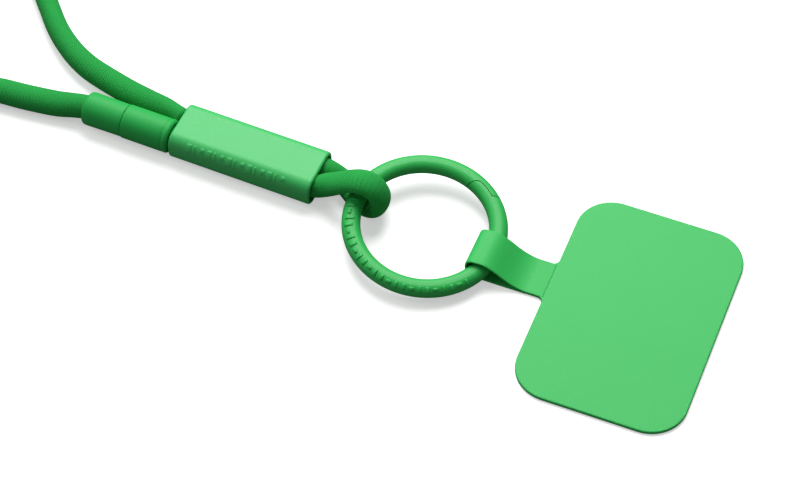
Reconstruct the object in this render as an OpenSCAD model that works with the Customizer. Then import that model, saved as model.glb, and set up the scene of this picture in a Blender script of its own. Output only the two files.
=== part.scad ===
// Phone lanyard: neck cord, flat cord keeper, two-part joiner, spring-gate ring
// and a thin phone patch whose strap loops round the ring.
// Frame: +X from the neck cord towards the patch, +Z up from the table,
// origin on the table at the centre of the lanyard without its neck cord.

/* [Cord] */
// Diameter of the round cord
cord_d = 5.9; // [5.6:0.1:6.0]

/* [Keeper] */
// Length of the flat keeper
keeper_len = 37.6; // [36:0.2:38]
// Width of the keeper, over both cords
keeper_w = 13.9; // [13.8:0.1:14.2]
// Height of the keeper
keeper_h = 7.9; // [7.8:0.1:8.1]
// Wall of the keeper
keeper_wall = 0.9; // [0.8:0.05:0.9]
// Turn of the keeper away from +X, as it lies
keeper_yaw = -2; // [-3:0.5:-1]

/* [Joiner] */
// Outside diameter of the joiner
joiner_d = 8.5; // [8.4:0.1:8.6]
// Length of the half on the ring side
joiner_ring_len = 12.6; // [12:0.2:13]
// Length of the half on the neck side
joiner_neck_len = 10.8; // [10.2:0.2:11.4]

/* [Ring] */
// Radius of the ring at the middle of its wire
ring_r = 17.5; // [17.4:0.1:17.6]
// Width of the wire, across the ring's plane
wire_w = 4.5; // [4.4:0.1:4.5]
// Height of the wire
wire_h = 4; // [3.9:0.1:4]
// How far the ring leans, as it rests on the cord
ring_tilt = 5; // [4.5:0.5:5.5]

/* [Patch] */
// Width of the patch, along X
patch_w = 41; // [38:0.5:41]
// Length of the patch, along Y
patch_l = 59.6; // [52:0.2:66]
// Corner radius of the patch
patch_r = 9; // [5:0.25:10]
// Thickness of each of the patch's two layers
sheet = 0.5; // [0.4:0.05:0.5]
// Width of the strap
strap_w = 10.3; // [9:0.1:10.4]

/* [Hidden] */
$fn = 64;

GREEN = [0.36, 0.82, 0.47];
CORD_GREEN = [0.16, 0.62, 0.28];
BRASS = [0.80, 0.66, 0.34];
STEEL = [0.72, 0.73, 0.75];

// Places
keeper_x = -20.1;
keeper_y = 7.95;
ring_x = 8.4;
ring_y = 3.8;
ring_lean = 147;
ring_z = 2.8 + ring_r * sin(ring_tilt);
patch_x = 61.3;
strap_y = 1.85;

// Cord
cord_r = cord_d / 2;
channel_y = cord_r + 0.05;
channel_z = keeper_h / 2;

// Joiner, measured along the keeper's axis from its ring end
joiner_gap = 0.4;
joiner_x = -keeper_len - joiner_gap;
joiner_end = joiner_x - joiner_ring_len - joiner_neck_len;
joiner_seam = joiner_x - joiner_ring_len;
joiner_r = joiner_d / 2;
mouth_r = cord_r + 0.1;
bore_r = 3.5;
mouth_len = 2;
nipple_len = 5.6;
ferrule_len = 3;
ring_ferrule_x = joiner_x - 6.4;
neck_ferrule_x = joiner_end + mouth_len + 0.1;

// Ring and gate, in the ring's own plane
pin_angle = 3;
pin_r = 0.8;
knuckle_r = 2.1;
cheek_z = 1.1;
lip_r = ring_r + 0.1;
shoulder_reach = 13.1;
tongue_reach = 18;
tongue_round = 2;
gate_gap = 0.2;
pin_at = [ring_r * cos(pin_angle), ring_r * sin(pin_angle)];

// Gate spring and plunger, from the pin towards the ring's near side
bore_x = -0.6;
bore_start = -1.62;
bore_lean = -11.5;
plunger_r = 0.6;
plunger_len = 1.8;
spring_len = 4;
spring_r = 0.48;
spring_wire = 0.11;
spring_turns = 7;

// Strap loop, in the XZ plane
fold_x = 36.4;
bight_x = 21.1;
loop_top = 6.1;
tab_end = patch_x - patch_w / 2;
root_fillet = 1.5;

// Neck cord's coil
coil_x = -159;
coil_y = 16;
coil_in = 24;
coil_out = 42;
coil_h = 12;

// Routes: x, y, z, half width, half thickness.
// The ring cord's is in the keeper's own axes: +X along it, origin at its ring end.
RING_CORD_LOOP = [
    [-6, -3, 3.95, 2.95, 2.95],
    [-3, -3, 3.95, 2.95, 2.9],
    [0, -2.7, 4.05, 2.65, 2.8],
    [3, -2.2, 5.6, 3, 2.7],
    [6, -2.2, 7.8, 3.2, 2.3],
    [9, -2.1, 10, 3.3, 2.1],
    [12.2, -2, 11.1, 3.4, 2.2],
    [15, -1.9, 10.2, 3.4, 2.2],
    [16.7, -1.8, 7.1, 3.4, 2.1],
    [16.1, -1.6, 3.8, 3.5, 2],
    [13.6, -1, 1.9, 3.6, 1.7],
    [10.4, 0.3, 1.7, 3.7, 1.6],
    [7, 1.8, 1.8, 3.3, 1.75],
    [3.6, 3, 2.7, 2.8, 2.4],
    [0.5, 3, 3.8, 2.8, 2.9],
    [-3, 3, 3.95, 2.95, 2.95],
    [-6, 3, 3.95, 2.95, 2.95]
];
NECK_UPPER = [
    [-57.9, 12.42, 3.95, 2.95, 2.8],
    [-58.7, 12.62, 3.95, 3, 2.5],
    [-60.6, 13.3, 3.8, 3, 2.4],
    [-64, 14.3, 3.4, 3, 2.75],
    [-69, 15.1, 3.1, 2.95, 3.05],
    [-75, 16.2, 3, 2.95, 3.2],
    [-82, 18, 3, 2.95, 3.2],
    [-88, 20, 3, 2.95, 3.1],
    [-94, 23.3, 3, 2.95, 2.9],
    [-100, 28.1, 3, 2.95, 2.75],
    [-106, 34.6, 3, 2.95, 2.7],
    [-112, 41.3, 3, 2.95, 2.8],
    [-120, 47.8, 3, 2.95, 2.95],
    [-131, 52.6, 3, 2.95, 2.95],
    [-144, 54.7, 3, 2.95, 2.95],
    [-157, 55, 3, 2.95, 2.95]
];
NECK_LOWER = [
    [-79.2, 7, 4.25, 2.7, 2.7],
    [-82, 7.1, 4.2, 2.95, 2.95],
    [-85, 6.8, 3.8, 2.95, 3.1],
    [-90, 6.15, 3.1, 2.95, 3.3],
    [-98, 5.3, 3, 2.95, 3.3],
    [-105, 4.8, 3, 2.95, 3.2],
    [-112, 3.3, 3.1, 2.95, 3],
    [-119.5, -1, 3.9, 2.95, 2.95],
    [-126.8, -7.4, 6.4, 2.95, 2.95],
    [-133.9, -13.9, 9, 2.95, 2.95]
];

// ---- helpers ----

module keeper_place()
    translate([keeper_x, keeper_y, 0])
        rotate([0, 0, keeper_yaw])
            children();

module ring_place()
    translate([ring_x, ring_y, ring_z])
        rotate(a = ring_tilt, v = [cos(ring_lean - 90), sin(ring_lean - 90), 0])
            children();

module hinge_place()
    translate([pin_at[0], pin_at[1], 0])
        rotate([0, 0, pin_angle])
            children();

// Rounded rectangle about the origin, from squares and circles
module rounded_plate(w, h, r) {
    square([w - 2 * r, h], center = true);
    square([w, h - 2 * r], center = true);
    for (sx = [-1, 1], sy = [-1, 1])
        translate([sx * (w / 2 - r), sy * (h / 2 - r)])
            circle(r = r);
}

module along_x(len)
    rotate([90, 0, 90])
        linear_extrude(height = len)
            children();

module tube_x(x0, x1, r, y, z)
    translate([x0, y, z])
        rotate([0, 90, 0])
            cylinder(r = r, h = x1 - x0);

// A cord swept along a route: rings of an oval, across the route's direction
function unit(v) = v / norm(v);
function place(p) = [p[0], p[1], p[2]];
function heading(path, i) =
    unit(place(path[min(i + 1, len(path) - 1)]) - place(path[max(i - 1, 0)]));
function oval_ring(p, dir, ref, sides) =
    let (a = unit(ref - (ref * dir) * dir), b = cross(dir, a))
    [for (k = [0:sides - 1])
        place(p) + a * p[3] * cos(360 * k / sides) + b * p[4] * sin(360 * k / sides)];
function curve(a, b, c, d, t) =
    0.5 * (2 * b + (c - a) * t + (2 * a - 5 * b + 4 * c - d) * t * t
        + (3 * b - a - 3 * c + d) * t * t * t);
function smooth(p, n) = [
    for (i = [0:len(p) - 2], k = [0:n - 1])
        curve(p[max(i - 1, 0)], p[i], p[i + 1], p[min(i + 2, len(p) - 1)], k / n),
    p[len(p) - 1]
];

module swept_cord(path, ref, sides) {
    rings = len(path);
    points = [for (i = [0:rings - 1]) each oval_ring(path[i], heading(path, i), ref, sides)];
    walls = [
        for (i = [0:rings - 2], k = [0:sides - 1])
            let (a = i * sides + k, b = i * sides + (k + 1) % sides)
                each [[a, b + sides, b], [a, a + sides, b + sides]]
    ];
    first_cap = [for (k = [0:sides - 1]) k];
    last_cap = [for (k = [sides - 1:-1:0]) (rings - 1) * sides + k];
    polyhedron(points = points, faces = concat([first_cap], walls, [last_cap]), convexity = 6);
}

// ---- keeper and joiner ----

module keeper_sleeve()
    color(GREEN)
        keeper_place()
            translate([-keeper_len, 0, keeper_h / 2])
                along_x(keeper_len)
                    difference() {
                        rounded_plate(keeper_w, keeper_h, 3);
                        rounded_plate(keeper_w - 2 * keeper_wall, keeper_h - 2 * keeper_wall, 2.1);
                    }

// Half of the joiner, turned from its section: x runs from the mouth to the seam
module joiner_half(len, mouth)
    rotate_extrude()
        difference() {
            union() {
                translate([0, 1])
                    square([joiner_r, len - 1]);
                square([joiner_r - 1, 1.5]);
                translate([joiner_r - 1, 1])
                    circle(r = 1);
            }
            translate([0, -1])
                square([mouth_r, mouth + 2]);
            translate([0, mouth])
                square([bore_r, len]);
        }

module joiner_ring_half()
    color(GREEN)
        keeper_place()
            translate([joiner_x, -channel_y, joiner_r])
                rotate([0, -90, 0])
                    joiner_half(joiner_ring_len, 6.2);

module joiner_neck_half()
    color(GREEN)
        keeper_place()
            translate([joiner_end, -channel_y, joiner_r])
                rotate([0, 90, 0])
                    joiner_half(joiner_neck_len - 0.1, mouth_len);

module joiner_nipple()
    color(BRASS)
        keeper_place()
            difference() {
                tube_x(joiner_seam - nipple_len / 2, joiner_seam + nipple_len / 2, bore_r - 0.03,
                    -channel_y, joiner_r);
                tube_x(joiner_seam - nipple_len, joiner_seam + nipple_len, 2.2, -channel_y, joiner_r);
            }

module ferrule(x0)
    keeper_place()
        difference() {
            tube_x(x0, x0 + ferrule_len, bore_r - 0.05, -channel_y, joiner_r);
            tube_x(x0 - 1, x0 + ferrule_len + 1, 2.78, -channel_y, joiner_r);
        }

module ring_end_ferrule()
    color(BRASS) ferrule(ring_ferrule_x - ferrule_len);

module neck_end_ferrule()
    color(BRASS) ferrule(neck_ferrule_x);

// ---- cords ----

module ring_cord()
    color(CORD_GREEN)
        keeper_place()
            swept_cord(
                concat(
                    [[ring_ferrule_x - ferrule_len - 0.1, -channel_y, joiner_r, 2.7, 2.7]],
                    [[ring_ferrule_x - 0.2, -channel_y, joiner_r, 2.7, 2.7]],
                    [[ring_ferrule_x + 0.6, -channel_y, joiner_r, cord_r, cord_r]],
                    [[joiner_x, -channel_y, joiner_r - 0.1, cord_r, cord_r]],
                    [[-keeper_len + 2, -channel_y, channel_z, cord_r, cord_r]],
                    smooth(RING_CORD_LOOP, 2),
                    [[-keeper_len + 0.02, 3, 3.95, 2.95, 2.95]]
                ),
                [0, 1, 0], 12);

module neck_cord_upper()
    color(CORD_GREEN)
        swept_cord(smooth(NECK_UPPER, 2), [0, 0, 1], 12);

module neck_cord_lower()
    color(CORD_GREEN)
        swept_cord(smooth(NECK_LOWER, 2), [0, 0, 1], 12);

module neck_coil()
    color(CORD_GREEN)
        translate([coil_x, coil_y, coil_h / 2])
            rotate_extrude($fn = 96)
                translate([(coil_in + coil_out) / 2, 0])
                    rounded_plate(coil_out - coil_in, coil_h, 3);

// ---- ring ----

// The wire's section: two half circles and the flat between them
module wire_section() {
    r = wire_h / 2;
    square([wire_w - wire_h, wire_h], center = true);
    for (s = [-1, 1])
        translate([s * (wire_w / 2 - r), 0])
            circle(r = r);
}

module wire(from, to)
    rotate([0, 0, from])
        rotate_extrude(angle = to - from, $fn = 96)
            translate([ring_r, 0])
                wire_section();

// Outline of the gate's nose in the ring's plane, grown by gap:
// a full-width part up to the shoulder and a half-width tongue beyond it
module nose_outline(gap) {
    lip = lip_r + gap;
    reach = tongue_reach + gap;
    translate(pin_at)
        circle(r = shoulder_reach + gap, $fn = 128);
    intersection() {
        circle(r = lip, $fn = 128);
        translate(pin_at)
            circle(r = reach, $fn = 128);
        tongue_corner(lip, reach);
    }
}

// Everything except the sharp corner where lip and reach cross, which is rounded
module tongue_corner(lip, reach) {
    a = lip - tongue_round;
    b = reach - tongue_round;
    half = pin_angle + acos((ring_r * ring_r + a * a - b * b) / (2 * ring_r * a));
    centre = [a * cos(half), a * sin(half)];
    on_lip = lip * [cos(half), sin(half)];
    on_reach = pin_at + reach * unit(centre - pin_at);
    difference() {
        circle(r = ring_r + 6);
        polygon([centre, on_lip, 1.5 * on_lip, 1.5 * on_reach, on_reach]);
    }
    translate(centre)
        circle(r = tongue_round);
}

module spring_bore(from, to, r)
    hinge_place()
        translate([bore_x, bore_start, 0])
            rotate([90, 0, bore_lean])
                translate([0, 0, from])
                    cylinder(r = r, h = to - from);

module ring_body()
    color(GREEN)
        ring_place()
            difference() {
                wire(40, 360 + pin_angle + 7);
                // recess for the gate's nose
                intersection() {
                    linear_extrude(height = 6, center = true)
                        nose_outline(gate_gap);
                    rotate([0, 0, 30])
                        wedge(45);
                }
                // round end of the two cheeks
                hinge_place()
                    difference() {
                        translate([-5, 0, -3])
                            cube([10, 6, 6]);
                        translate([0, 0, -4])
                            cylinder(r = knuckle_r + 0.15, h = 8);
                    }
                // slot between the cheeks
                hinge_place()
                    cylinder(r = knuckle_r + 0.25, h = 2 * cheek_z + 0.2, center = true);
                hinge_place()
                    cylinder(r = pin_r + 0.02, h = 6, center = true);
                spring_bore(-1.5, plunger_len + spring_len + 0.3, plunger_r + 0.05);
            }

// A wedge of the ring's plane, from 0 to the given angle
module wedge(angle)
    rotate_extrude(angle = angle)
        translate([5, -4])
            square([20, 8]);

module ring_gate()
    color(GREEN)
        ring_place()
            difference() {
                union() {
                    // full section from the knuckle to the shoulder, and the tongue
                    difference() {
                        intersection() {
                            wire(pin_angle, 75);
                            linear_extrude(height = 6, center = true)
                                nose_outline(0);
                        }
                        hinge_place()
                            for (s = [-1, 1])
                                translate([0, 0, s * (cheek_z + 3)])
                                    cylinder(r = knuckle_r + 0.35, h = 6, center = true);
                    }
                    // knuckle between the cheeks
                    hinge_place()
                        cylinder(r = knuckle_r, h = 2 * cheek_z, center = true);
                }
                // flat that the plunger bears on
                hinge_place()
                    translate([-4, -4 - 1.55, -3])
                        cube([8, 4, 6]);
                hinge_place()
                    cylinder(r = pin_r + 0.06, h = 6, center = true);
            }

module gate_pin()
    color(STEEL)
        ring_place()
            hinge_place()
                cylinder(r = pin_r, h = wire_h - 0.3, center = true);

module gate_plunger()
    color(STEEL)
        ring_place()
            spring_bore(0, plunger_len, plunger_r);

module gate_spring()
    color(STEEL)
        ring_place()
            hinge_place()
                translate([bore_x, bore_start, 0])
                    rotate([90, 0, bore_lean])
                        translate([0, 0, plunger_len + 0.05 + spring_wire])
                            swept_cord([
                                for (k = [0:12 * spring_turns])
                                    [spring_r * cos(30 * k), spring_r * sin(30 * k),
                                     k / (12 * spring_turns) * (spring_len - 2 * spring_wire),
                                     spring_wire, spring_wire]
                            ], [0, 0, 1], 6);

// ---- strap and patch ----

// Side view of the strap's loop round the wire: the lower run, the bight and the upper run
function bezier(a, b, c, d, t) =
    a * pow(1 - t, 3) + 3 * b * t * pow(1 - t, 2) + 3 * c * t * t * (1 - t) + d * pow(t, 3);
function reversed(list) = [for (i = [len(list) - 1:-1:0]) list[i]];
function loop_line(grow) = let (
    low = sheet / 2 - grow,
    mid = sheet + 0.02 + sheet / 2 + grow,
    top = loop_top - sheet / 2 + grow,
    left = bight_x + sheet / 2 - grow
) concat(
    [[fold_x, low]],
    [for (k = [0:10]) let (t = k / 10) bezier([25, low], [left + 0.6, low], [left, 1.4], [left, 3.4], t)],
    [for (k = [1:10]) let (t = k / 10) bezier([left, 3.4], [left, 5.6], [left + 1, top], [left + 3.6, top], t)],
    [for (k = [1:12]) let (t = k / 12) bezier([left + 3.6, top], [left + 7, top], [fold_x - 5, mid], [fold_x, mid], t)]
);

module strap_loop()
    color(GREEN)
        translate([0, strap_y + strap_w / 2, 0])
            rotate([90, 0, 0])
                linear_extrude(height = strap_w)
                    polygon(concat(loop_line(sheet / 2), reversed(loop_line(-sheet / 2))));

module patch_outline()
    translate([patch_x, 0])
        rounded_plate(patch_w, patch_l, patch_r);

// The tongue between the fold and the patch, with a concave fillet on each side
module tongue_outline() {
    len = tab_end - fold_x;
    translate([fold_x + 0.1, strap_y - strap_w / 2])
        square([len + 1, strap_w]);
    for (s = [-1, 1])
        difference() {
            translate([tab_end - root_fillet / 2, strap_y + s * (strap_w / 2 + root_fillet / 2 - 0.01)])
                square([root_fillet, root_fillet + 0.02], center = true);
            translate([tab_end - root_fillet, strap_y + s * (strap_w / 2 + root_fillet)])
                circle(r = root_fillet);
        }
}

module patch_base()
    color(GREEN) {
        linear_extrude(height = sheet) {
            patch_outline();
            tongue_outline();
        }
        translate([fold_x + 0.1, strap_y - strap_w / 2, sheet / 2])
            cube([tab_end - fold_x - 0.15, strap_w, 1.5 * sheet]);
    }

module patch_face()
    color(GREEN)
        translate([0, 0, sheet])
            linear_extrude(height = sheet)
                patch_outline();

keeper_sleeve();
joiner_ring_half();
joiner_neck_half();
joiner_nipple();
ring_end_ferrule();
neck_end_ferrule();
ring_cord();
neck_cord_upper();
neck_cord_lower();
neck_coil();
ring_body();
ring_gate();
gate_pin();
gate_plunger();
gate_spring();
strap_loop();
patch_base();
patch_face();
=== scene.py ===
"""Phone lanyard: braided cord, keeper sleeve, joiner, gate ring and a thin patch on a folded strap."""

import math

import bmesh
import bpy
import numpy as np
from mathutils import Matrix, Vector


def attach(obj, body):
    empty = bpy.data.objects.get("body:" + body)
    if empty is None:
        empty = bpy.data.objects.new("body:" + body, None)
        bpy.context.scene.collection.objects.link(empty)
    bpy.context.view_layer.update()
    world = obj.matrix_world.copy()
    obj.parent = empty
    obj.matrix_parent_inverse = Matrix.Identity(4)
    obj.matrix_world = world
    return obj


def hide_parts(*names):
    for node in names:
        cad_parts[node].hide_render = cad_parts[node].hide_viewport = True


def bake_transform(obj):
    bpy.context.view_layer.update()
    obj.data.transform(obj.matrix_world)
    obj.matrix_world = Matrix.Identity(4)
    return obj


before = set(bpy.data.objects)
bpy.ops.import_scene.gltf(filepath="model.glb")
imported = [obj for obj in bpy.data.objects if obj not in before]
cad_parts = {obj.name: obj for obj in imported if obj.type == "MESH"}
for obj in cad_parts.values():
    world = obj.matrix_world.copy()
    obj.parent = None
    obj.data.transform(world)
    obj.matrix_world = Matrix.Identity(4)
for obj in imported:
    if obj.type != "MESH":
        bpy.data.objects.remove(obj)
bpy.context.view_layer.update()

MM = 0.001

# ---- camera ----

AIM = Vector((0.0046, -0.00254, 0.0))
AZIMUTH = math.radians(21.643)
ELEVATION = math.radians(53.684)
DISTANCE = 0.6
FOCAL_MM = 113.985
SENSOR_MM = 36


def make_camera():
    """Looks at AIM from DISTANCE away, AZIMUTH round from the near side and ELEVATION up."""
    back = Vector((
        math.sin(AZIMUTH) * math.cos(ELEVATION),
        -math.cos(AZIMUTH) * math.cos(ELEVATION),
        math.sin(ELEVATION),
    ))
    lens = bpy.data.cameras.new("camera")
    lens.lens = FOCAL_MM
    lens.sensor_width = SENSOR_MM
    lens.clip_start = 0.01
    camera = bpy.data.objects.new("camera", lens)
    camera.rotation_mode = "QUATERNION"
    camera.rotation_quaternion = (-back).to_track_quat("-Z", "Y")
    camera.location = AIM + back * DISTANCE
    bpy.context.scene.collection.objects.link(camera)
    bpy.context.scene.camera = camera


make_camera()
bpy.context.scene.view_settings.view_transform = "Standard"


# ---- surfaces ----

def skin(name, grid, around=False, ends=False, uv=None, material=None):
    """One mesh over a grid of points, shape (rows, columns, 3).

    Each quad joins (i, j), (i + 1, j), (i + 1, j + 1), (i, j + 1). With around, the last
    column is joined to the first; with ends, a middle point closes each open row.
    uv has one more column than the grid where it goes around.
    """
    rows, columns = grid.shape[:2]
    points = grid.reshape(-1, 3)
    i, j = np.meshgrid(np.arange(rows - 1), np.arange(columns if around else columns - 1), indexing="ij")
    i, j = i.ravel(), j.ravel()
    k = (j + 1) % columns
    quads = np.stack([i * columns + j, i * columns + k, (i + 1) * columns + k, (i + 1) * columns + j], 1)
    loops = quads.ravel()
    starts = np.arange(len(quads)) * 4
    corners = None
    if uv is not None:
        corners = np.stack([uv[i, j], uv[i, j + 1], uv[i + 1, j + 1], uv[i + 1, j]], 1).reshape(-1, 2)
    if ends:
        first, last = len(points), len(points) + 1
        points = np.concatenate([points, grid[0].mean(0)[None], grid[-1].mean(0)[None]])
        a = np.arange(columns)
        b = (a + 1) % columns
        low = np.stack([b, a, np.full(columns, first)], 1)
        base = (rows - 1) * columns
        high = np.stack([base + a, base + b, np.full(columns, last)], 1)
        caps = np.concatenate([low, high])
        starts = np.concatenate([starts, len(loops) + np.arange(len(caps)) * 3])
        loops = np.concatenate([loops, caps.ravel()])
        if corners is not None:
            corners = np.concatenate([corners, np.zeros((len(caps) * 3, 2))])
    mesh = bpy.data.meshes.new(name)
    mesh.vertices.add(len(points))
    mesh.vertices.foreach_set("co", points.astype(np.float32).ravel())
    mesh.loops.add(len(loops))
    mesh.loops.foreach_set("vertex_index", loops.astype(np.int32))
    mesh.polygons.add(len(starts))
    mesh.polygons.foreach_set("loop_start", starts.astype(np.int32))
    mesh.polygons.foreach_set("use_smooth", np.ones(len(starts), bool))
    if corners is not None:
        layer = mesh.uv_layers.new(name="weave")
        layer.data.foreach_set("uv", corners.astype(np.float32).ravel())
    mesh.update(calc_edges=True)
    mesh.validate()
    piece = bpy.data.objects.new(name, mesh)
    bpy.context.scene.collection.objects.link(piece)
    if material:
        mesh.materials.append(material)
    return piece


def distances(points):
    """How far along a line each of its points lies: the running sum of the steps' lengths."""
    return np.concatenate([[0], np.cumsum(np.linalg.norm(np.diff(points, axis=0), axis=1))])


def respaced(columns, along, count, endpoint=True):
    """The columns read again at count even places along the line."""
    at = np.linspace(0, along[-1], count, endpoint=endpoint)
    return np.stack([np.interp(at, along, columns[:, k]) for k in range(columns.shape[1])], 1)


def through(route, step):
    """A Catmull-Rom curve through the route's points, then points step apart along it.

    Between b and c, with a before and d after, it is half of
    2 b + (c - a) t + (2 a - 5 b + 4 c - d) t^2 + (3 b - a - 3 c + d) t^3.
    """
    p = np.concatenate([route[:1], route, route[-1:]])
    t = np.linspace(0, 1, 24, endpoint=False)[None, :, None]
    a, b, c, d = (p[k:len(p) - 3 + k, None, :] for k in range(4))
    square = 2 * a - 5 * b + 4 * c - d
    cube = 3 * b - a - 3 * c + d
    line = 0.5 * (2 * b + (c - a) * t + square * t ** 2 + cube * t ** 3)
    line = np.concatenate([line.reshape(-1, route.shape[1]), route[-1:]])
    along = distances(line[:, :3])
    return respaced(line, along, int(along[-1] / step) + 2)


def tube(name, line, reference, sides, material, ribs=None):
    """A cord along line, whose columns are x, y, z and two half widths.

    Ring point = centre + a * first half width * cos(angle) + b * second * sin(angle), where a is
    the reference direction squared to the line and b is line x a. ribs(along, angle) is a share
    that the half widths grow by. The uv is (angle as a share of a turn, metres along).
    """
    heading = np.gradient(line[:, :3], axis=0)
    heading /= np.linalg.norm(heading, axis=1)[:, None]
    reference = np.asarray(reference, float)
    a = reference - (heading @ reference)[:, None] * heading
    a /= np.linalg.norm(a, axis=1)[:, None]
    b = np.cross(heading, a)
    along = distances(line[:, :3])
    angle = np.arange(sides) * 2 * np.pi / sides
    grow = 1 + (ribs(along[:, None], angle[None]) if ribs else np.zeros((len(line), sides)))
    grid = (
        line[:, None, :3]
        + a[:, None] * (line[:, 3, None] * np.cos(angle) * grow)[..., None]
        + b[:, None] * (line[:, 4, None] * np.sin(angle) * grow)[..., None]
    )
    share = np.linspace(0, 1, sides + 1)
    uv = np.stack(np.broadcast_arrays(share[None], along[:, None]), 2)
    return skin(name, grid, around=True, ends=True, uv=uv, material=material)


# ---- materials ----

def linear(red, green, blue):
    """A colour as its 0 to 255 display values, turned into the linear values that shaders take."""
    v = np.array([red, green, blue]) / 255
    v = np.where(v <= 0.04045, v / 12.92, ((v + 0.055) / 1.055) ** 2.4)
    return (*[float(x) for x in v], 1.0)


class Nodes:
    """Adds nodes to a tree and joins them in one call each."""

    def __init__(self, tree):
        self.tree = tree

    def add(self, kind, settings=(), **inputs):
        """A node with its settings; inputs are named, or i and a number, and take values or sockets."""
        node = self.tree.nodes.new(kind)
        for name, value in settings:
            setattr(node, name, value)
        for key, value in inputs.items():
            numbered = key[0] == "i" and key[1:].isdigit()
            socket = node.inputs[int(key[1:]) if numbered else key.replace("_", " ")]
            if isinstance(value, bpy.types.NodeSocket):
                self.tree.links.new(value, socket)
            else:
                socket.default_value = value
        return node

    def math(self, operation, a, b=0.0):
        return self.add("ShaderNodeMath", [("operation", operation)], i0=a, i1=b).outputs[0]

    def blend(self, share, a, b):
        """Colour a going over to colour b as share goes from 0 to 1."""
        return self.add("ShaderNodeMix", [("data_type", "RGBA")], Factor=share, i6=a, i7=b).outputs[2]

    def between(self, share, a, b):
        """Number a going over to number b as share goes from 0 to 1."""
        return self.add("ShaderNodeMix", [("data_type", "FLOAT")], Factor=share, i2=a, i3=b).outputs[0]


def group(name, inputs, outputs):
    """An empty shader node group with those sockets: its nodes, its input node and its output node."""
    tree = bpy.data.node_groups.new(name, "ShaderNodeTree")
    for label, kind, value in inputs:
        socket = tree.interface.new_socket(label, in_out="INPUT", socket_type=kind)
        socket.default_value = value
    for label, kind in outputs:
        tree.interface.new_socket(label, in_out="OUTPUT", socket_type=kind)
    nodes = Nodes(tree)
    return nodes, tree.nodes.new("NodeGroupInput"), tree.nodes.new("NodeGroupOutput")


def moulded_grain():
    """Fine moulded surface: a slow drift of tone, and a fine grain with small pores for the height."""
    n, given, out = group(
        "moulded_grain",
        [
            ("Tone", "NodeSocketColor", (0.1, 0.5, 0.2, 1)),
            ("Deep Tone", "NodeSocketColor", (0.05, 0.4, 0.1, 1)),
            ("Grain Scale", "NodeSocketFloat", 3000.0),
            ("Drift", "NodeSocketFloat", 0.3),
            ("Roughness", "NodeSocketFloat", 0.5),
        ],
        [("Color", "NodeSocketColor"), ("Roughness", "NodeSocketFloat"), ("Height", "NodeSocketFloat")],
    )
    where = n.add("ShaderNodeTexCoord").outputs["Object"]
    slow = n.add("ShaderNodeTexNoise", Vector=where, Scale=90.0, Detail=3.0, Roughness=0.55).outputs[0]
    size = given.outputs["Grain Scale"]
    fine = n.add("ShaderNodeTexNoise", Vector=where, Scale=size, Detail=2.0).outputs[0]
    pores = n.add("ShaderNodeTexVoronoi", Vector=where, Scale=1500.0).outputs[0]
    share = n.math("MULTIPLY", slow, given.outputs["Drift"])
    share = n.math("ADD", share, n.math("MULTIPLY", fine, 0.12))
    n.tree.links.new(n.blend(share, given.outputs["Tone"], given.outputs["Deep Tone"]), out.inputs["Color"])
    uneven = n.math("MULTIPLY", n.math("SUBTRACT", fine, 0.5), 0.18)
    n.tree.links.new(n.math("ADD", given.outputs["Roughness"], uneven), out.inputs["Roughness"])
    height = n.math("ADD", fine, n.math("MULTIPLY", pores, 0.5))
    n.tree.links.new(height, out.inputs["Height"])
    return n.tree


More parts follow.
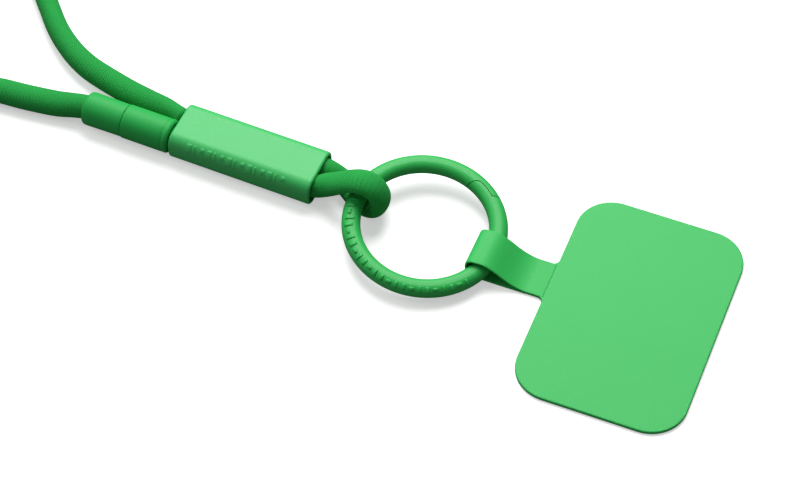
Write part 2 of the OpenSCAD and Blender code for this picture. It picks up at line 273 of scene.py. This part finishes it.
# The braid's colour darkens in its low places: painted shade between the yarns.
def braid():
    """Two families of yarns cross round the cord, over and under.

    With u the share of a turn and v metres along, a = count * u + v / pitch and
    b = count * u - v / pitch. Each yarn's height is half a sine across it, the family that is on
    top changes with floor(a) + floor(b), and the gaps are the low places. Rib Share brings in
    ribs that run along the cord, the absolute sine of count * u.
    """
    n, given, out = group(
        "braid",
        [
            ("Tone", "NodeSocketColor", (0.1, 0.5, 0.2, 1)),
            # painted shade: the colour for the low places between the yarns, where shade falls
            ("Gap Tone", "NodeSocketColor", (0.02, 0.2, 0.05, 1)),
            ("Yarns", "NodeSocketFloat", 20.0),
            ("Pitch", "NodeSocketFloat", 0.0011),
            ("Rib Share", "NodeSocketFloat", 0.0),
        ],
        [("Color", "NodeSocketColor"), ("Roughness", "NodeSocketFloat"), ("Height", "NodeSocketFloat")],
    )
    uv = n.add("ShaderNodeUVMap", [("uv_map", "weave")]).outputs[0]
    split = n.add("ShaderNodeSeparateXYZ", Vector=uv)
    round_it = n.math("MULTIPLY", split.outputs[0], given.outputs["Yarns"])
    down = n.math("DIVIDE", split.outputs[1], given.outputs["Pitch"])
    a = n.math("ADD", round_it, down)
    b = n.math("SUBTRACT", round_it, down)
    ridge_a = n.math("SINE", n.math("MULTIPLY", n.math("FRACT", a), math.pi))
    ridge_b = n.math("SINE", n.math("MULTIPLY", n.math("FRACT", b), math.pi))
    turn = n.math("FRACT", n.math("MULTIPLY", n.math("ADD", n.math("FLOOR", a), n.math("FLOOR", b)), 0.5))
    over = n.math("GREATER_THAN", turn, 0.25)
    woven = n.between(over, ridge_a, ridge_b)
    ribs = n.math("ABSOLUTE", n.math("SINE", n.math("MULTIPLY", round_it, math.pi)))
    height = n.between(given.outputs["Rib Share"], woven, ribs)
    where = n.add("ShaderNodeTexCoord").outputs["Object"]
    fuzz = n.add("ShaderNodeTexNoise", Vector=where, Scale=2600.0, Detail=3.0).outputs[0]
    slow = n.add("ShaderNodeTexNoise", Vector=where, Scale=120.0, Detail=2.0).outputs[0]
    # Painted shade: the colour darkens towards the gap colour where the yarns are low; fine and slow noise
    # add random tone.
    shade = n.math("SUBTRACT", 1.0, height)
    shade = n.math("MULTIPLY", n.math("POWER", shade, 1.4), 0.62)
    shade = n.math("ADD", shade, n.math("MULTIPLY", fuzz, 0.22))
    shade = n.math("ADD", shade, n.math("MULTIPLY", slow, 0.16))
    n.tree.links.new(n.blend(shade, given.outputs["Tone"], given.outputs["Gap Tone"]), out.inputs["Color"])
    n.tree.links.new(n.math("ADD", 0.72, n.math("MULTIPLY", shade, 0.25)), out.inputs["Roughness"])
    n.tree.links.new(n.math("ADD", height, n.math("MULTIPLY", fuzz, 0.35)), out.inputs["Height"])
    return n.tree


GRAIN = moulded_grain()
BRAID = braid()


def finish_of(name, effect, bump, distance, values, **shader):
    """A material: one effect group feeds the colour, the roughness and the bump of a Principled shader."""
    material = bpy.data.materials.new(name)
    material.use_nodes = True
    n = Nodes(material.node_tree)
    principled = material.node_tree.nodes["Principled BSDF"]
    made = n.add("ShaderNodeGroup", [("node_tree", effect)])
    for key, value in values.items():
        made.inputs[key].default_value = value
    n.tree.links.new(made.outputs["Color"], principled.inputs["Base Color"])
    n.tree.links.new(made.outputs["Roughness"], principled.inputs["Roughness"])
    height = n.add("ShaderNodeBump", Strength=bump, Distance=distance, Height=made.outputs["Height"])
    n.tree.links.new(height.outputs[0], principled.inputs["Normal"])
    for key, value in shader.items():
        principled.inputs[key.replace("_", " ")].default_value = value
    return material


def moulded(name, tone, deep, roughness, bump=0.25, grain=3000.0, **shader):
    """A material with the moulded grain, 0.06 mm deep at full bump."""
    values = {"Tone": tone, "Deep Tone": deep, "Roughness": roughness, "Grain Scale": grain, "Drift": 0.35}
    return finish_of(name, GRAIN, bump, 0.00006, values, **shader)


KEEPER = moulded(
    "keeper_green", linear(58, 190, 98), linear(48, 180, 88), 0.5,
    Specular_IOR_Level=0.5
)
JOINER = moulded(
    "joiner_green", linear(32, 172, 76), linear(24, 160, 66), 0.55,
    Specular_IOR_Level=0.3
)
PATCH = moulded(
    "patch_green", linear(50, 192, 92), linear(42, 182, 82), 0.58, bump=0.3, grain=4200.0,
    Specular_IOR_Level=0.45
)
STRAP = moulded(
    "strap_green", linear(46, 190, 88), linear(38, 180, 78), 0.58, bump=0.3, grain=4200.0,
    Specular_IOR_Level=0.4
)
RING = moulded(
    "ring_green", linear(44, 184, 84), linear(36, 172, 74), 0.48, bump=0.15, grain=1800.0,
    Specular_IOR_Level=0.38
)
CORD_FINISH = {
    "Sheen_Weight": 0.2,
    "Sheen_Roughness": 0.45,
    "Sheen_Tint": (0.2, 0.85, 0.32, 1),
    "Specular_IOR_Level": 0.15,
}
# The gap colours below are painted shade for the low places of the braid.
CORD = finish_of(
    "cord_braid", BRAID, 0.4, 0.00016,
    {"Tone": linear(42, 174, 77), "Gap Tone": linear(14, 108, 42), "Yarns": 34.0, "Pitch": 0.0008},
    **CORD_FINISH
)
BIGHT = finish_of(
    "cord_braid_drawn", BRAID, 0.35, 0.00016,
    {"Tone": linear(44, 176, 78), "Gap Tone": linear(18, 116, 48), "Yarns": 40.0, "Pitch": 0.00085,
     "Rib Share": 0.35},
    **CORD_FINISH
)
BRASS = moulded(
    "turned_brass", linear(214, 184, 110), linear(184, 150, 80), 0.32, bump=0.1,
    Metallic=1.0
)
STEEL = moulded(
    "drawn_steel", linear(196, 198, 202), linear(160, 162, 168), 0.3, bump=0.1,
    Metallic=1.0
)

# ---- cords ----

# x, y, z and the cord's two half widths, in millimetres
NECK_UPPER = np.array([
    [-57.9, 12.42, 3.95, 2.95, 2.8],
    [-58.7, 12.62, 3.95, 3, 2.5],
    [-60.6, 13.3, 3.8, 3, 2.4],
    [-64, 14.3, 3.4, 3, 2.75],
    [-69, 15.1, 3.1, 2.95, 3.05],
    [-75, 16.2, 3, 2.95, 3.2],
    [-82, 18, 3, 2.95, 3.2],
    [-88, 20, 3, 2.95, 3.1],
    [-94, 23.3, 3, 2.95, 2.9],
    [-100, 28.1, 3, 2.95, 2.75],
    [-106, 34.6, 3, 2.95, 2.7],
    [-112, 41.3, 3, 2.95, 2.8],
    [-120, 47.8, 3, 2.95, 2.95],
    [-131, 52.6, 3, 2.95, 2.95],
    [-144, 54.7, 3, 2.95, 2.95],
    [-157, 55, 3, 2.95, 2.95],
])
NECK_LOWER = np.array([
    [-79.2, 7, 4.25, 2.7, 2.7],
    [-82, 7.1, 4.2, 2.95, 2.95],
    [-85, 6.8, 3.8, 2.95, 3.1],
    [-90, 6.15, 3.1, 2.95, 3.3],
    [-98, 5.3, 3, 2.95, 3.3],
    [-105, 4.8, 3, 2.95, 3.2],
    [-112, 3.3, 3.1, 2.95, 3],
    [-119.5, -1, 3.9, 2.95, 2.95],
    [-126.8, -7.4, 6.4, 2.95, 2.95],
])
# The same, in the keeper's axes
RING_LOOP = np.array([
    [-6, -3, 3.95, 2.95, 2.95],
    [-3, -3, 3.95, 2.95, 2.9],
    [0, -2.7, 4.05, 2.65, 2.8],
    [3, -2.2, 5.6, 3, 2.7],
    [6, -2.2, 7.8, 3.2, 2.3],
    [9, -2.1, 10, 3.3, 2.1],
    [12.2, -2, 11.1, 3.4, 2.2],
    [15, -1.9, 10.2, 3.4, 2.2],
    [16.7, -1.8, 7.1, 3.4, 2.1],
    [16.1, -1.6, 3.8, 3.5, 2],
    [13.6, -1, 1.9, 3.6, 1.7],
    [10.4, 0.3, 1.7, 3.7, 1.6],
    [7, 1.8, 1.8, 3.3, 1.75],
    [3.6, 3, 2.7, 2.8, 2.4],
    [0.5, 3, 3.8, 2.8, 2.9],
    [-3, 3, 3.95, 2.95, 2.95],
    [-6, 3, 3.95, 2.95, 2.95],
])
CORD_D = 5.9
COIL_AT = (-159, 16)
TURNS = 5.611


def coil_line():
    """The wound length: three turns inward on the table, a rise, and turns outward on top.

    At t turns the angle is 90 degrees + 360 t; the radius and the height are straight lines
    between the given turns, the rise smoothed as 3s^2 - 2s^3.
    """
    t = np.linspace(0.01, TURNS, 170)
    radius = np.interp(t, [0, 2.6, 3.0, 5.5, TURNS], [39, 23.4, 24, 39, 39])
    s = np.clip((t - 2.6) / 0.4, 0, 1)
    height = 3 + 6 * (3 * s ** 2 - 2 * s ** 3)
    angle = np.radians(90) + 2 * np.pi * t
    across = np.full_like(t, CORD_D / 2)
    x = COIL_AT[0] + radius * np.cos(angle)
    y = COIL_AT[1] + radius * np.sin(angle)
    return np.stack([x, y, height, across, across], 1)


KEEPER_AT = np.array([-20.1, 7.95, 0])
KEEPER_YAW = math.radians(-2)


def on_keeper(points):
    """Points in the keeper's axes, in millimetres, turned and moved to where it lies."""
    c, s = math.cos(KEEPER_YAW), math.sin(KEEPER_YAW)
    moved = points.copy()
    moved[..., 0] = KEEPER_AT[0] + c * points[..., 0] - s * points[..., 1]
    moved[..., 1] = KEEPER_AT[1] + s * points[..., 0] + c * points[..., 1]
    return moved


def make_neck_cord():
    """One length from the keeper's rear channel, through the coil, back to the joiner's mouth."""
    line = through(np.concatenate([NECK_UPPER, coil_line(), NECK_LOWER[::-1]]), 1.0) * MM
    cord = tube("neck_cord", line, (0, 0, 1), 32, CORD)
    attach(cord, "cords")
    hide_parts("neck_cord_upper", "neck_cord_lower", "neck_coil")


def make_ring_cord():
    """The length through the ring: two legs inside the keeper and the bight round the wire.

    The bight's surface has 39 fine ribs along it: half width * 0.005 * cos(39 * angle).
    """
    front = np.array([
        [-47.4, -3.0, 4.25, 2.7, 2.7],
        [-44.6, -3.0, 4.25, 2.7, 2.7],
        [-43.8, -3.0, 4.25, 2.95, 2.95],
        [-38.0, -3.0, 4.15, 2.95, 2.95],
        [-35.6, -3.0, 3.95, 2.95, 2.95],
        [-6, -3, 3.95, 2.95, 2.95],
    ])
    rear = np.array([[-6, 3, 3.95, 2.95, 2.95], [-20, 3, 3.95, 2.95, 2.95], [-37.58, 3, 3.95, 2.95, 2.95]])
    for name, leg in (("ring_cord_front_leg", front), ("ring_cord_rear_leg", rear)):
        line = on_keeper(through(leg, 1.0)) * MM
        piece = tube(name, line, (0, 1, 0), 32, CORD)
        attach(piece, "cords")

    def ribs(along, angle):
        return 0.005 * np.cos(39 * angle) * np.ones_like(along)

    line = on_keeper(through(RING_LOOP, 0.35)) * MM
    bight = tube("ring_cord_bight", line, (0, 1, 0), 234, BIGHT, ribs)
    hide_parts("ring_cord")
    ends = on_keeper(np.array([[1.0, 0, 4], [11.0, 0, 4]])) * MM
    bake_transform(bight)


make_neck_cord()
make_ring_cord()

# ---- keeper sleeve ----

KEEPER_LEN = 37.6
KEEPER_W = 13.9
KEEPER_H = 7.9
KEEPER_R = 3.0
KEEPER_WALL = 0.9
OUTER_LIP = 0.6
INNER_LIP = 0.3
STUD_HEIGHT = 0.15
# Each kind of stud: length, half height and middle in degrees round the section
STUDS = ((1.15, 20, 143), (0.4, 20, 143), (0.9, 8, 133))


def rounded_section(width, height, radius, count):
    """count points and outward normals, evenly spaced along a rounded rectangle about the origin."""
    w, h = width / 2 - radius, height / 2 - radius
    quarter = np.linspace(0, np.pi / 2, 40)
    points, normals = [], []
    for k, (cx, cy) in enumerate([(w, h), (-w, h), (-w, -h), (w, -h)]):
        angle = quarter + k * np.pi / 2
        normal = np.stack([np.cos(angle), np.sin(angle)], 1)
        points.append(np.array([cx, cy]) + radius * normal)
        normals.append(normal)
    points, normals = np.concatenate(points), np.concatenate(normals)
    points = np.concatenate([points, points[:1]])
    normals = np.concatenate([normals, normals[:1]])
    along = distances(points)
    points = respaced(points, along, count, endpoint=False)
    normals = respaced(normals, along, count, endpoint=False)
    return points, normals / np.linalg.norm(normals, axis=1)[:, None]


def smooth_box(t):
    """3 t^2 - 2 t^3 with t held between 0 and 1."""
    t = np.clip(t, 0, 1)
    return 3 * t ** 2 - 2 * t ** 3


def make_keeper():
    """A sleeve: each row is the section moved in by an inset, along x from mouth to mouth and back inside.

    Raised studs stand on the near upper corner: height = STUD_HEIGHT * smooth box in x * smooth
    box round the section, in one row of three kinds.
    """
    wall, lip, inner = KEEPER_WALL, OUTER_LIP, INNER_LIP
    turn = np.radians(np.linspace(0, 90, 9))
    back = turn[::-1]
    outer = np.linspace(-KEEPER_LEN + lip, -lip, 300)
    x = np.concatenate([
        -KEEPER_LEN + lip - lip * np.sin(back), outer[1:-1], -lip + lip * np.sin(turn),
        -inner + inner * np.sin(back)[1:], [-4, -KEEPER_LEN + 4],
        -KEEPER_LEN + inner - inner * np.sin(turn)[:-1],
    ])
    inset = np.concatenate([
        lip * (1 - np.cos(back)), np.zeros(len(outer) - 2), lip * (1 - np.cos(turn)),
        wall - inner * (1 - np.cos(back))[1:], [wall, wall],
        wall - inner * (1 - np.cos(turn))[:-1],
    ])
    section, normal = rounded_section(KEEPER_W, KEEPER_H, KEEPER_R, 250)
    angle = np.degrees(np.arctan2(normal[:, 1], normal[:, 0]))
    outside = np.arange(len(x)) < len(turn) + len(outer) - 2
    rise = np.zeros((len(x), len(section)))
    for k, start in enumerate(np.linspace(-32.5, -7.5, 15)):
        long, half, middle = STUDS[k % 3]
        box = smooth_box(np.minimum(x - start, start + long - x) / 0.16 + 0.5) * outside
        band = smooth_box((half - np.abs(angle - middle)) / 3 + 0.5)
        rise = np.maximum(rise, STUD_HEIGHT * box[:, None] * band[None])
    out = (rise - inset[:, None])[..., None] * normal[None]
    grid = np.zeros((len(x), len(section), 3))
    grid[..., 0] = x[:, None]
    grid[..., 1:] = section[None] + out
    grid[..., 2] += KEEPER_H / 2
    grid = on_keeper(np.concatenate([grid, grid[:1]])) * MM
    piece = skin("keeper_shell", grid[::-1], around=True, material=KEEPER)
    close_up(piece)
    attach(piece, "keeper")
    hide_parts("keeper_sleeve")


def close_up(piece, flat_ends=False):
    """Merges doubled rows, fills the open ones with one face each if asked, and turns faces outward."""
    work = bmesh.new()
    work.from_mesh(piece.data)
    if flat_ends:
        bmesh.ops.holes_fill(work, edges=work.edges, sides=0)
        for face in work.faces:
            face.smooth = True
    bmesh.ops.remove_doubles(work, verts=work.verts, dist=1e-7)
    bmesh.ops.recalc_face_normals(work, faces=work.faces)
    work.to_mesh(piece.data)
    work.free()
    piece.data.update()


make_keeper()

# ---- joiner ----

JOINER_X = -KEEPER_LEN - 0.4
JOINER_SEAM = JOINER_X - 12.6
JOINER_END = JOINER_SEAM - 10.8
JOINER_Y = -3.0
JOINER_Z = 4.25
JOINER_R = 4.25
SEAM_R = 4.1
NECK_END_R = 4.2
MOUTH_R = 3.05
BORE_R = 3.5


def arc(cx, cr, radius, start, end, count=9):
    """Points (x, r) on a circle about (cx, cr), from start to end degrees."""
    angle = np.radians(np.linspace(start, end, count))
    return np.stack([cx + radius * np.cos(angle), cr + radius * np.sin(angle)], 1)


def turned(name, profile, material):
    """A profile of (x, r) turned round the joiner's axis, and closed on itself."""
    angle = np.arange(128) * 2 * np.pi / 128
    grid = np.zeros((len(profile), len(angle), 3))
    grid[..., 0] = profile[:, None, 0]
    grid[..., 1] = JOINER_Y + profile[:, None, 1] * np.cos(angle)
    grid[..., 2] = JOINER_Z + profile[:, None, 1] * np.sin(angle)
    grid = np.concatenate([grid, grid[:1]])
    piece = skin(name, on_keeper(grid) * MM, around=True, material=material)
    close_up(piece)
    return piece


def make_joiner():
    """Two turned halves: rounded mouths, a fine groove behind the ring-side lip, a step at the seam."""
    step = JOINER_SEAM + 0.02
    groove = JOINER_X - 1.45
    body = np.linspace(JOINER_SEAM + 0.6, JOINER_X - 2.6, 12)
    ring_half = np.concatenate([
        arc(JOINER_X - 0.9, JOINER_R - 0.9, 0.9, 90, 0),
        arc(JOINER_X - 0.3, MOUTH_R + 0.3, 0.3, 0, -90, 5),
        [[JOINER_X - 6.2, MOUTH_R], [JOINER_X - 6.2, BORE_R], [step, BORE_R]],
        arc(step + 0.22, JOINER_R - 0.22, 0.22, 180, 90, 6),
        np.stack([body, np.full(12, JOINER_R)], 1),
        [
            [groove - 0.3, JOINER_R], [groove - 0.15, JOINER_R - 0.08], [groove, JOINER_R - 0.12],
            [groove + 0.15, JOINER_R - 0.08], [groove + 0.3, JOINER_R],
        ],
    ])
    end = JOINER_SEAM - 0.1
    body = np.linspace(JOINER_END + 2.2, JOINER_SEAM - 1.2, 14)
    neck_half = np.concatenate([
        arc(end - 0.2, SEAM_R - 0.2, 0.2, 90, 0, 6),
        [[end, BORE_R], [JOINER_END + 2, BORE_R], [JOINER_END + 2, MOUTH_R]],
        arc(JOINER_END + 0.3, MOUTH_R + 0.3, 0.3, 270, 180, 5),
        arc(JOINER_END + 1.0, NECK_END_R - 1.0, 1.0, 180, 90),
        np.stack([body, np.linspace(NECK_END_R, SEAM_R, 14)], 1),
    ])
    for name, profile, node in (
        ("joiner_ring_shell", ring_half, "joiner_ring_half"),
        ("joiner_neck_shell", neck_half, "joiner_neck_half"),
    ):
        piece = turned(name, profile, JOINER)
        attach(piece, "cords")
        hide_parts(node)


make_joiner()

# ---- ring ----

RING_R = 17.5
RING_TILT = math.radians(5)
RING_LEAN = math.radians(147)
RING_AT = np.array([8.4, 3.8, 2.8 + RING_R * math.sin(RING_TILT)])
WIRE_W = 4.5
WIRE_H = 4.0
MARKS = 27
MARK_HEIGHT = 0.17
# Each kind of mark: half its size along the ring and half its size round the wire, in degrees
MARK_HALVES = ((1.0, 20), (1.7, 8), (0.6, 22))


def on_ring(points):
    """Points in the ring's own plane, in millimetres, tilted and moved to where it lies."""
    axis = np.array([math.cos(RING_LEAN - math.pi / 2), math.sin(RING_LEAN - math.pi / 2), 0])
    c, s = math.cos(RING_TILT), math.sin(RING_TILT)
    tilted = points * c + np.cross(axis, points) * s + axis * (points @ axis)[..., None] * (1 - c)
    return tilted + RING_AT


def wire_point(angle, section, grow):
    """A point of the wire: angle round the ring, section round the wire (0 outward, 90 degrees up).

    The wire is two half circles of height WIRE_H, set apart by the rest of WIRE_W.
    """
    side = np.clip(np.cos(section) * 6, -1, 1)
    r = RING_R + (WIRE_W - WIRE_H) / 2 * side + (WIRE_H / 2 + grow) * np.cos(section)
    return np.stack([r * np.cos(angle), r * np.sin(angle), (WIRE_H / 2 + grow) * np.sin(section)], -1)


def make_ring_marks():
    """Raised marks along the wire's near side: domes whose height is MARK_HEIGHT (1 - u^4)(1 - v^4)."""
    random = np.random.default_rng(7)
    u, v = np.meshgrid(np.linspace(-1, 1, 13), np.linspace(-1, 1, 13), indexing="ij")
    height = MARK_HEIGHT * (1 - u ** 4) * (1 - v ** 4) - 0.02
    domes = []
    for k, place in enumerate(np.linspace(172, 322, MARKS)):
        centre = np.interp(place, [172, 215, 270, 322], [88, 72, 54, 50])
        half_along = MARK_HALVES[k % 3][0] + 0.3 * random.random()
        half_across = MARK_HALVES[k % 3][1] + 2 * random.random()
        drift = random.uniform(-4, 4)
        angle = np.radians(place + u * half_along)
        section = np.radians(centre + drift + v * half_across)
        domes.append(on_ring(wire_point(angle, section, height)) * MM)
    marks = [skin(f"mark_{k}", grid, material=RING) for k, grid in enumerate(domes)]
    work = bmesh.new()
    for mark in marks:
        work.from_mesh(mark.data)
        bpy.data.meshes.remove(mark.data)
    for face in work.faces:
        face.smooth = True
    bmesh.ops.solidify(work, geom=work.faces[:], thickness=0.00012)
    mesh = bpy.data.meshes.new("ring_marks")
    work.to_mesh(mesh)
    work.free()
    mesh.materials.append(RING)
    piece = bpy.data.objects.new("ring_marks", mesh)
    bpy.context.scene.collection.objects.link(piece)
    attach(piece, "ring")


make_ring_marks()

# ---- strap and patch ----

FOLD_X = 36.4
STRAP_Y = 1.85
STRAP_W = 10.3
LOOP_TOP = 6.1
BIGHT_X = 21.1
SHEET = 0.48
STRAP_ROWS = 150
PATCH_X = 61.3
PATCH_W = 41.0
PATCH_L = 59.6
PATCH_R = 9.0
TAB_END = PATCH_X - PATCH_W / 2
ROOT_FILLET = 1.5


def bezier(a, b, c, d, count):
    """A cubic curve's points between a and d, pulled towards b and c."""
    t = np.linspace(0, 1, count)[:, None]
    a, b, c, d = (np.array(p, float) for p in (a, b, c, d))
    return a * (1 - t) ** 3 + 3 * b * t * (1 - t) ** 2 + 3 * c * t ** 2 * (1 - t) + d * t ** 3


def strap_line(left):
    """The strap's side view as (x, z) at even places: lower run, bight at left, upper run to the patch."""
    low, mid, top = SHEET / 2, 0.5 + SHEET / 2 + 0.02, LOOP_TOP - SHEET / 2
    line = np.concatenate([
        bezier([FOLD_X, low], [32, low], [29, low], [25, low], 30)[:-1],
        bezier([25, low], [left + 0.6, low], [left, 1.4], [left, 3.4], 30)[:-1],
        bezier([left, 3.4], [left, 5.6], [left + 1, top], [left + 3.6, top], 30)[:-1],
        bezier([left + 3.6, top], [left + 7, top], [FOLD_X - 5.2, mid + 0.4], [FOLD_X, mid], 50)[:-1],
        [[FOLD_X, mid], [TAB_END - 0.1, mid + 0.02]],
    ])
    along = distances(line)
    return respaced(line, along, STRAP_ROWS), along[-1]


def make_strap():
    """The folded strap: its section carried along the side view, the bight slanting a little with the wire.

    The section is a flat strip, STRAP_W by SHEET, its edges rounded with a radius of 0.2.
    """
    edge = 0.2
    half = STRAP_W / 2
    corner = np.radians(np.linspace(0, 90, 5))
    flat = np.linspace(-half + edge, half - edge, 24)[1:-1]
    across = [-half + edge - edge * np.cos(corner), flat, half - edge + edge * np.sin(corner)]
    up = [edge * np.sin(corner) - edge, np.zeros(len(flat)), edge * np.cos(corner) - edge]
    top = np.stack([np.concatenate(across), SHEET / 2 + np.concatenate(up)], 1)
    section = np.concatenate([top, top[::-1] * [1, -1]])
    lefts = BIGHT_X + SHEET / 2 + 0.1 * (section[:, 0] + half) / STRAP_W
    grid = np.zeros((STRAP_ROWS, len(section), 3))
    for k, left in enumerate(lefts):
        line, length = strap_line(left)
        way = np.gradient(line, axis=0)
        way /= np.linalg.norm(way, axis=1)[:, None]
        normal = np.stack([way[:, 1], -way[:, 0]], 1)
        moved = line + section[k, 1] * normal
        grid[:, k, 0], grid[:, k, 2] = moved[:, 0], moved[:, 1]
        grid[:, k, 1] = STRAP_Y + section[k, 0]
    strap = skin("strap_ribbon", grid * MM, around=True, ends=True, material=STRAP)
    close_up(strap)
    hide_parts("strap_loop")
    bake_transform(strap)


def patch_outline():
    """The patch's outline with its tongue, going round, with its points 0.4 apart.

    The tongue is a touch narrower than the strap, which lies over it.
    """
    w, l, r, f = PATCH_W / 2, PATCH_L / 2, PATCH_R, ROOT_FILLET
    near, far = STRAP_Y - STRAP_W / 2 + 0.06, STRAP_Y + STRAP_W / 2 - 0.06

    def bend(cx, cy, radius, start, end):
        angle = np.radians(np.linspace(start, end, 24))
        return np.stack([cx + radius * np.cos(angle), cy + radius * np.sin(angle)], 1)

    points = np.concatenate([
        bend(PATCH_X + w - r, l - r, r, 0, 90), bend(PATCH_X - w + r, l - r, r, 90, 180),
        bend(TAB_END - f, far + f, f, 0, -90),
        [[FOLD_X + 0.05, far], [FOLD_X + 0.05, near]],
        bend(TAB_END - f, near - f, f, 90, 0),
        bend(PATCH_X - w + r, -l + r, r, 180, 270), bend(PATCH_X + w - r, -l + r, r, 270, 360),
    ])
    points = np.concatenate([points, points[:1]])
    along = distances(points)
    return respaced(points, along, int(along[-1] / 0.4), endpoint=False)


# The patch's edge from below to above: how far in, and how high
PATCH_EDGE = (
    (0.5, 0), (0.32, 0), (0.14, 0.03), (0.03, 0.12), (0, 0.25), (0, 0.42), (0.05, 0.48),
    (0.05, 0.51), (0, 0.57), (0, 0.74), (0.03, 0.87), (0.13, 0.97), (0.32, 1.0), (0.5, 1.0),
)


def make_patch():
    """Two bonded layers with a fine line between them: the outline moved in by an inset at each height.

    The faces above and below are flat, one polygon each.
    """
    outline = patch_outline()
    way = np.roll(outline, -1, 0) - np.roll(outline, 1, 0)
    way /= np.linalg.norm(way, axis=1)[:, None]
    inward = np.stack([-way[:, 1], way[:, 0]], 1)
    level = np.ones((len(outline), 1))
    rows = [np.concatenate([outline + inward * inset, level * z], 1) for inset, z in PATCH_EDGE]
    piece = skin("patch_sheet", np.array(rows) * MM, around=True, material=PATCH)
    close_up(piece, flat_ends=True)
    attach(piece, "patch")
    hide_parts("patch_base", "patch_face")


make_strap()
make_patch()

# ---- nodes that stay ----

for node, material in {
    "joiner_nipple": BRASS, "ring_end_ferrule": BRASS, "neck_end_ferrule": BRASS,
    "ring_body": RING, "ring_gate": RING,
    "gate_pin": STEEL, "gate_plunger": STEEL, "gate_spring": STEEL,
}.items():
    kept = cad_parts[node]
    kept.data.materials.clear()
    kept.data.materials.append(material)

# ---- floor and light ----

FLOOR_HALF = 3.0
FLOOR_Z = -2e-5


def pale_floor():
    """Near white to the camera, mid grey to the light that bounces off it, so that undersides stay deep."""
    material = bpy.data.materials.new("pale_floor")
    material.use_nodes = True
    n = Nodes(material.node_tree)
    principled = material.node_tree.nodes["Principled BSDF"]
    principled.inputs["Roughness"].default_value = 0.8
    principled.inputs["Specular IOR Level"].default_value = 0.0
    principled.inputs["Emission Color"].default_value = (1, 1, 1, 1)
    seen = n.add("ShaderNodeLightPath").outputs["Is Camera Ray"]
    tone = n.blend(seen, (0.22, 0.22, 0.22, 1), (0.93, 0.93, 0.93, 1))
    n.tree.links.new(tone, principled.inputs["Base Color"])
    n.tree.links.new(n.math("MULTIPLY", seen, 0.45), principled.inputs["Emission Strength"])
    return material


def make_floor():
    corners = [(x * FLOOR_HALF, y * FLOOR_HALF, FLOOR_Z) for x, y in ((-1, -1), (1, -1), (1, 1), (-1, 1))]
    mesh = bpy.data.meshes.new("floor")
    mesh.from_pydata(corners, [], [(0, 1, 2, 3)])
    mesh.materials.append(pale_floor())
    floor = bpy.data.objects.new("floor", mesh)
    bpy.context.scene.collection.objects.link(floor)


def make_light():
    """An even pale sky, a wide soft lamp above and behind, and a weaker one at the left."""
    world = bpy.data.worlds.new("room")
    world.use_nodes = True
    background = world.node_tree.nodes["Background"]
    background.inputs["Color"].default_value = (1, 1, 1, 1)
    background.inputs["Strength"].default_value = 0.2
    bpy.context.scene.world = world
    for name, place, size, energy in (
        ("lamp_back", (-0.16, 0.4, 0.56), 0.6, 6.2),
        ("lamp_side", (-0.7, -0.1, 0.7), 0.6, 1.5),
    ):
        lamp = bpy.data.lights.new(name, "AREA")
        lamp.shape = "DISK"
        lamp.size = size
        lamp.energy = energy
        light = bpy.data.objects.new(name, lamp)
        light.location = place
        light.rotation_mode = "QUATERNION"
        light.rotation_quaternion = (Vector((0, 0, 0)) - Vector(place)).to_track_quat("-Z", "Y")
        bpy.context.scene.collection.objects.link(light)


make_floor()
make_light()
